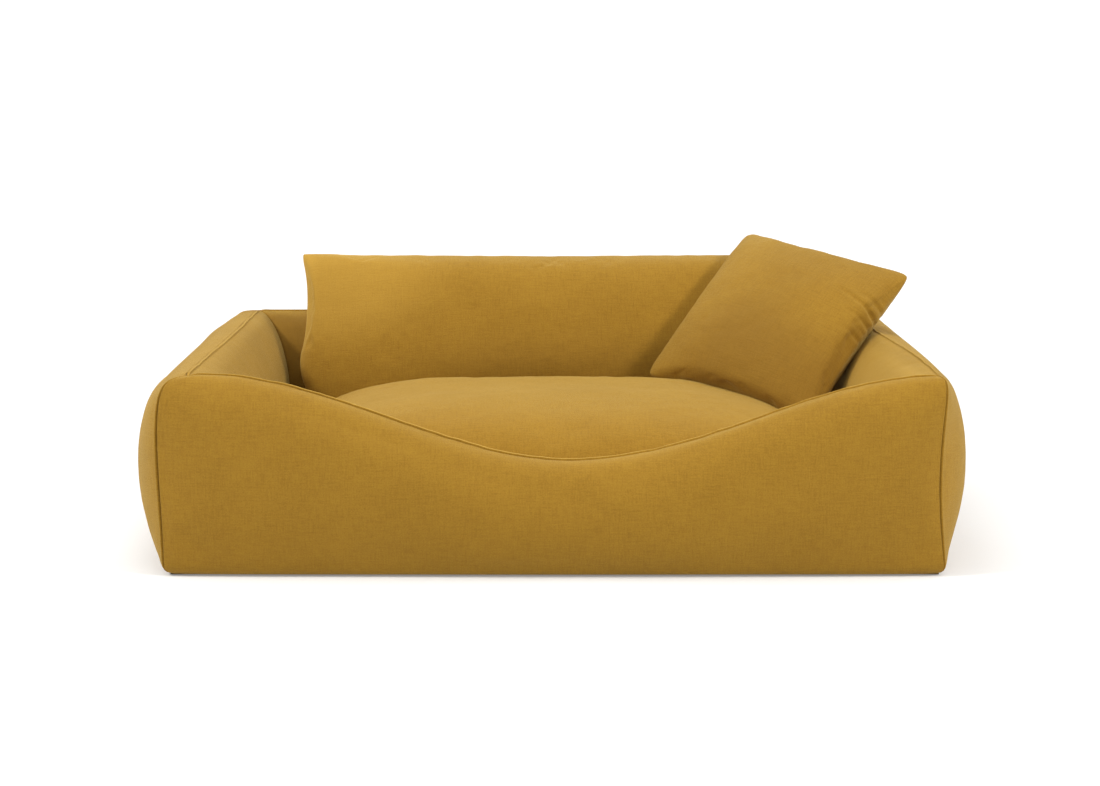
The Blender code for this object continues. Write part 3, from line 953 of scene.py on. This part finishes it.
def zip_matrix(name):
    """A zip's frame, from its packed tape: X along it, Z out of the cloth."""
    tape = coordinates(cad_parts[f"{name}_zip_tape"].data)
    slider = coordinates(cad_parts[f"{name}_zip_slider"].data).mean(axis=0)
    middle = (tape.max(axis=0) + tape.min(axis=0)) / 2
    centred = tape - tape.mean(axis=0)
    axes = np.linalg.svd(centred, full_matrices=False)[2]
    run, out = axes[0], axes[2]
    if np.dot(slider - tape.mean(axis=0), run) < 0:
        run = -run
    if np.dot(slider - tape.mean(axis=0), out) < 0:
        out = -out
    side = np.cross(out, run)
    length = np.ptp(centred @ run)
    low = (centred @ out).min()
    origin = middle + out * low
    matrix = Matrix([[*row, 0] for row in np.stack((run, side, out), axis=1)] + [[0, 0, 0, 1]])
    matrix.translation = Vector(origin)
    return matrix, float(length)


def tooth_tree(matrix):
    """Two rows of coil teeth along a zip."""
    g = Growing("Zip teeth")
    step = g.size("Pitch", 0.0017)
    width = g.size("Tooth width", 0.0024)
    curve = g.node("GeometryNodeMeshToCurve", {}, {"Mesh": g.source.outputs[0]})
    spaced = g.node(
        "GeometryNodeResampleCurve", {"mode": "LENGTH"}, {"Curve": curve.outputs[0], "Length": step}
    )
    shape = g.node(
        "GeometryNodeMeshCylinder",
        {"fill_type": "TRIANGLE_FAN"},
        {"Vertices": 8, "Radius": 0.00062, "Depth": width},
    )
    across = (matrix @ Matrix.Rotation(math.pi / 2, 4, "X")).to_euler()
    turned = g.node(
        "GeometryNodeTransform", {}, {"Geometry": shape.outputs[0], "Rotation": across}
    )
    placed = g.node(
        "GeometryNodeInstanceOnPoints",
        {},
        {"Points": spaced.outputs[0], "Instance": turned.outputs[0]},
    )
    g.end(placed.outputs[0], TAPE)
    return g.tree


def zip_pieces(name):
    """A zip's tape and teeth, which stay with its cloth, and its metal slider and pull."""
    matrix, length = zip_matrix(name)
    columns = 9
    rows = max(12, int(length / 0.006))
    x = np.linspace(-length / 2, length / 2, rows)
    y = np.linspace(-TAPE_HALF, TAPE_HALF, columns)
    gx, gy = np.meshgrid(x, y, indexing="ij")
    gz = 0.0007 + 0.0003 * np.exp(-((gy / 0.0022) ** 2))
    top = np.stack((gx, gy, gz), axis=-1)
    low = np.stack((gx, gy, np.zeros_like(gx)), axis=-1)
    faces, _, _ = cushion_faces(rows, columns)
    ends = np.array(matrix)
    points = joined_sheets(top, low) @ ends[:3, :3].T + ends[:3, 3]
    uvs = joined_sheets(top[..., :2], low[..., :2])
    tape = mesh_object(f"{name}_zip_tape_woven", points, faces, TAPE, uvs)
    facing_out(tape)
    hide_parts(f"{name}_zip_tape")
    half = length / 2 - 0.006
    lines = []
    for row in (-0.0011, 0.0011):
        shift = 0.00085 if row > 0 else 0
        ends = [matrix @ Vector((x, row, 0.0020)) for x in (-half + shift, half)]
        lines.append(ends)
    teeth = grown(f"{name}_zip_teeth", line_object(lines), tooth_tree(matrix))
    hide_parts(f"{name}_zip_chain")
    for piece in (tape, teeth):
        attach(piece, name)
    for kind in ("slider", "pull"):
        metal = softened(f"{name}_zip_{kind}")
        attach(metal, f"{name}_zip_{kind}")


def softened(node):
    """A copy of a small metal CAD node with its sharp edges rounded."""
    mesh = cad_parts[node].data.copy()
    bm = bmesh.new()
    bm.from_mesh(mesh)
    bmesh.ops.remove_doubles(bm, verts=bm.verts[:], dist=1e-6)
    bmesh.ops.dissolve_limit(bm, angle_limit=0.02, verts=bm.verts[:], edges=bm.edges[:])
    bm.to_mesh(mesh)
    bm.free()
    mesh.materials.clear()
    mesh.materials.append(BRASS)
    obj = link(f"{node}_metal", mesh)
    bevel = obj.modifiers.new("Bevel", "BEVEL")
    bevel.width = 0.00022
    bevel.segments = 2
    bevel.limit_method = "ANGLE"
    bevel.angle_limit = math.radians(40)
    mesh.shade_smooth()
    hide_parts(node)
    return obj


# ---------------------------------------------------------------- the bed


def make_walls(seat):
    """The four covers, the zip's bed in the back one, and the stitches along the top seam."""
    lines = []
    for name in WALLS:
        body, line = stuffed_wall(name)
        if name == "back":
            points = coordinates(body.data)
            place_points(body.data, seated(points, seat))
        facing_out(body)
        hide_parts(f"{name}_outer_panel", f"{name}_inner_lining", f"{name}_wall_foam")
        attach(body, "frame")
        lines.append(line)
    stitches = grown("frame_top_stitching", line_object(lines), stitch_tree())
    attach(stitches, "frame")


def flat_sheet(name, half_w, half_d, low, high, finish, wave):
    """A sheet of cloth sewn flat into the frame, with a slight unevenness on one face."""
    rows, columns = 100, 76
    across, back = np.linspace(-half_w, half_w, rows), np.linspace(-half_d, half_d, columns)
    gx, gy = np.meshgrid(across, back, indexing="ij")
    flat = np.stack((gx, gy, np.zeros_like(gx)), axis=-1)
    uneven = rumple(flat.reshape(-1, 3), 9.0, 4, 2).reshape(gx.shape) * wave
    top = np.stack((gx, gy, high + uneven), axis=-1)
    under = np.stack((gx, gy, low + np.maximum(0, uneven) * 0.3), axis=-1)
    faces, _, _ = cushion_faces(rows, columns)
    uvs = joined_sheets(flat[..., :2], flat[..., :2])
    obj = mesh_object(name, joined_sheets(top, under), faces, finish, uvs)
    facing_out(obj)
    return obj


def grip_tree():
    """Low rubber dots on a square grid under the base."""
    g = Growing("Grip dots")
    pitch = g.size("Pitch", 0.022)
    width = g.size("Width", WIDTH - 0.05)
    depth = g.size("Depth", DEPTH - 0.05)
    radius = g.size("Dot radius", 0.0022)

    def count(size):
        share = g.node("ShaderNodeMath", {"operation": "DIVIDE"}, {0: size, 1: pitch})
        return share.outputs[0]

    size = {"Size X": width, "Size Y": depth}
    counts = {"Vertices X": count(width), "Vertices Y": count(depth)}
    field = g.node("GeometryNodeMeshGrid", {}, {**size, **counts})
    shape = g.node(
        "GeometryNodeMeshCylinder",
        {"fill_type": "TRIANGLE_FAN"},
        {"Vertices": 10, "Radius": radius, "Depth": 0.0006},
    )
    placed = g.node(
        "GeometryNodeInstanceOnPoints",
        {},
        {"Points": field.outputs[0], "Instance": shape.outputs[0]},
    )
    lifted = g.node(
        "GeometryNodeTransform",
        {},
        {"Geometry": placed.outputs[0], "Translation": (0, 0, 0.0004)},
    )
    g.end(lifted.outputs[0], RUBBER)
    return g.tree


def make_base():
    """The cloth under the base with its grip dots, and the cloth that lines the tray."""
    base_half = (WIDTH / 2 - BASE_IN, DEPTH / 2 - BASE_IN)
    tray_half = (WIDTH / 2 - WALL_BASE + TRAY_TUCK, DEPTH / 2 - WALL_BASE + TRAY_TUCK)
    base = flat_sheet("base_cloth", *base_half, 0.0003, 0.0010, UNDERSIDE, 0.0)
    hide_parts("base_panel")
    tray = flat_sheet("tray_cloth", *tray_half, 0.0285, 0.0302, UNDERSIDE, 0.0010)
    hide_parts("tray_floor_lining")
    dots = grown("grip_dots", line_object([[(0, 0, 0), (0.1, 0, 0)]]), grip_tree())
    for piece in (base, tray, dots):
        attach(piece, "frame")
    for piece, half in ((base, base_half), (tray, tray_half)):
        flat = (2 * half[0], 2 * half[1])


MATTRESS = Cushion(
    "mattress",
    half=(0.380, 0.248),
    depths=(0.116, 0.041),
    power=3.4,
    full=(0.42, 0.12),
    place=(0, -0.012, 0.0745),
    turn=(0, 90, 0),
)
MATTRESS.press = 0.46

BACK_PILLOW = Cushion(
    "back_pillow",
    half=(0.385, 0.128),
    depths=(0.063, 0.050),
    power=2.5,
    full=(0.50, 0.50),
    place=(0, 0.234, 0.235),
    turn=(0, 20, 0),
)
BACK_PILLOW.pinch_w, BACK_PILLOW.pinch_h = 0.018, 0.030
BACK_PILLOW.pinch_at, BACK_PILLOW.pinch_span = 0.35, 0.62
BACK_PILLOW.low_tuck = 0.055
# painted shade low down, where the mattress shades it, and painted light at its left end
BACK_PILLOW.nap_low, BACK_PILLOW.painted_light_left = 0.48, 0.50

SCATTER_PILLOW = Cushion(
    "scatter_pillow",
    half=(0.147, 0.147),
    depths=(0.052, 0.044),
    power=2.4,
    full=(0.55, 0.55),
    place=(0.322, 0.089, 0.264),
    turn=(-30, 46, 13),
)
SCATTER_PILLOW.pinch_w = SCATTER_PILLOW.pinch_h = 0.045
SCATTER_PILLOW.ear = 0.045
# painted shade over its face, deepest low down, and painted light at its left end
SCATTER_PILLOW.nap_top, SCATTER_PILLOW.nap_low = 0.38, 0.66
SCATTER_PILLOW.nap_mid, SCATTER_PILLOW.painted_light_left = 0.35, 0.35
# where each crease leaves the right edge, its slant, depth and reach in from the edge
SCATTER_PILLOW.creases = (
    (0.47, 0.12, 0.0017, 0.013),
    (0.35, 0.20, 0.0030, 0.024),
    (0.24, 0.02, 0.0021, 0.014),
    (0.07, -0.10, 0.0014, 0.012),
)


# pressure, slack, frames and the most that a point may move, as settle has them
TOPPER_SWELLING = (1.2, 0.0, 14, 0.004)
PILLOW_SWELLING = (2.5, 0.0, 16, 0.007)


def make_cushions():
    """The three loose covers, each in place of its own cloth and filling."""
    mattress_nodes = ("top_cover", "bottom_cover", "fibre_topper")
    pillow_nodes = ("front_cover", "rear_cover", "insert")
    jobs = (
        (MATTRESS, (121, 81), 2, TOPPER_SWELLING, mattress_nodes, 0.9),
        (BACK_PILLOW, (111, 45), 3, PILLOW_SWELLING, pillow_nodes, 0.8),
        (SCATTER_PILLOW, (61, 61), 3, PILLOW_SWELLING, pillow_nodes, 0.8),
    )
    for cushion, coarse, factor, swelling, nodes, fill in jobs:
        seat = None
        if cushion is not MATTRESS:
            matrix, length = zip_matrix(cushion.name)
            seat = (cushion.matrix.inverted() @ matrix, length)
        body = stuffed_cushion(cushion, coarse, factor, swelling, seat)
        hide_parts(*(f"{cushion.name}_{node}" for node in nodes))
        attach(body, cushion.name)


def dress_fillings():
    """Foam or fibre on the CAD nodes that stay."""
    for name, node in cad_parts.items():
        if node.hide_render:
            continue
        finish = FIBRE if "fibre" in name or "insert" in name else FOAM
        node.data.materials.clear()
        node.data.materials.append(finish)


# ---------------------------------------------------------------- floor, light and camera


def soft_light(name, place, target, size, power, colour):
    data = bpy.data.lights.new(name, "AREA")
    data.shape = "RECTANGLE"
    data.size, data.size_y = size
    data.energy = power
    data.color = colour
    lamp = bpy.data.objects.new(name, data)
    lamp.location = place
    aim = Vector(target) - Vector(place)
    lamp.rotation_euler = aim.to_track_quat("-Z", "Y").to_euler()
    bpy.context.scene.collection.objects.link(lamp)


def make_sky():
    """Soft light that is strongest overhead and warmer low down."""
    world = bpy.data.worlds.new("studio")
    world.use_nodes = True
    tree = world.node_tree
    background = tree.nodes["Background"]
    place = tree.nodes.new("ShaderNodeTexCoord")
    split = tree.nodes.new("ShaderNodeSeparateXYZ")
    ramp = tree.nodes.new("ShaderNodeValToRGB")
    ramp.color_ramp.elements[0].position = 0.0
    ramp.color_ramp.elements[0].color = (0.12, 0.11, 0.095, 1)
    ramp.color_ramp.elements[1].position = 1.0
    ramp.color_ramp.elements[1].color = (1.0, 1.0, 1.0, 1)
    tree.links.new(place.outputs["Generated"], split.inputs[0])
    tree.links.new(split.outputs[2], ramp.inputs[0])
    tree.links.new(ramp.outputs[0], background.inputs["Color"])
    background.inputs["Strength"].default_value = 1.2
    bpy.context.scene.world = world


def make_stage():
    """A pale floor that curves up behind."""
    finish = Finish("studio_floor", Roughness=0.95)
    place = finish.object_place()
    grain = finish.noise(place, 2.0)
    finish.set("Base Color", finish.mixed(grain, (0.60, 0.60, 0.60, 1), (0.63, 0.63, 0.63, 1)))
    # it glows a little, more so far off, so that it stays white to the edge of the view
    reach = finish.node("ShaderNodeVectorMath", {"operation": "LENGTH"}, place, output=0)
    near, far = (0.22, 0.22, 0.22, 1), (0.5, 0.5, 0.5, 1)
    finish.set("Emission Color", finish.mixed(reach.between(0.9, 3.2), near, far))
    finish.set("Emission Strength", 1.0)
    profile = [(-300, -0.0005), (3.0, -0.0005)]
    curve = np.linspace(0.05, math.pi / 2, 24)
    profile += [(3.0 + 3 * math.sin(a), 3 - 3 * math.cos(a)) for a in curve]
    profile += [(6.0, 9.0)]
    points = [(x, y, z) for y, z in profile for x in (-300, 300)]
    faces = [(2 * i, 2 * i + 1, 2 * i + 3, 2 * i + 2) for i in range(len(profile) - 1)]
    mesh_object("floor", points, faces, finish.material)
    make_sky()
    bpy.context.scene.view_settings.view_transform = "Standard"
    cool, warm = (0.96, 1.0, 1.0), (1.0, 0.98, 0.94)
    soft_light("overhead", (-0.4, 0.0, 2.6), (0, 0, 0), (1.6, 1.3), 20, cool)
    soft_light("right_softbox", (2.3, -1.7, 1.9), (0, 0, 0.15), (0.5, 0.5), 55, warm)
    soft_light("left_softbox", (-2.3, -1.1, 2.1), (0, 0, 0.15), (0.4, 0.4), 50, warm)


def make_camera():
    data = bpy.data.cameras.new("camera")
    data.lens = 81.75
    data.sensor_width = 36
    camera = bpy.data.objects.new("camera", data)
    camera.location = (-0.006, -3.4876, 0.7121)
    camera.rotation_euler = (math.pi / 2 - 0.1516, 0, 0)
    bpy.context.scene.collection.objects.link(camera)
    bpy.context.scene.camera = camera


make_camera()
make_stage()
make_walls(zip_matrix("frame"))
make_base()
make_cushions()
for zipped in ("frame", "mattress", "back_pillow", "scatter_pillow"):
    zip_pieces(zipped)
dress_fillings()
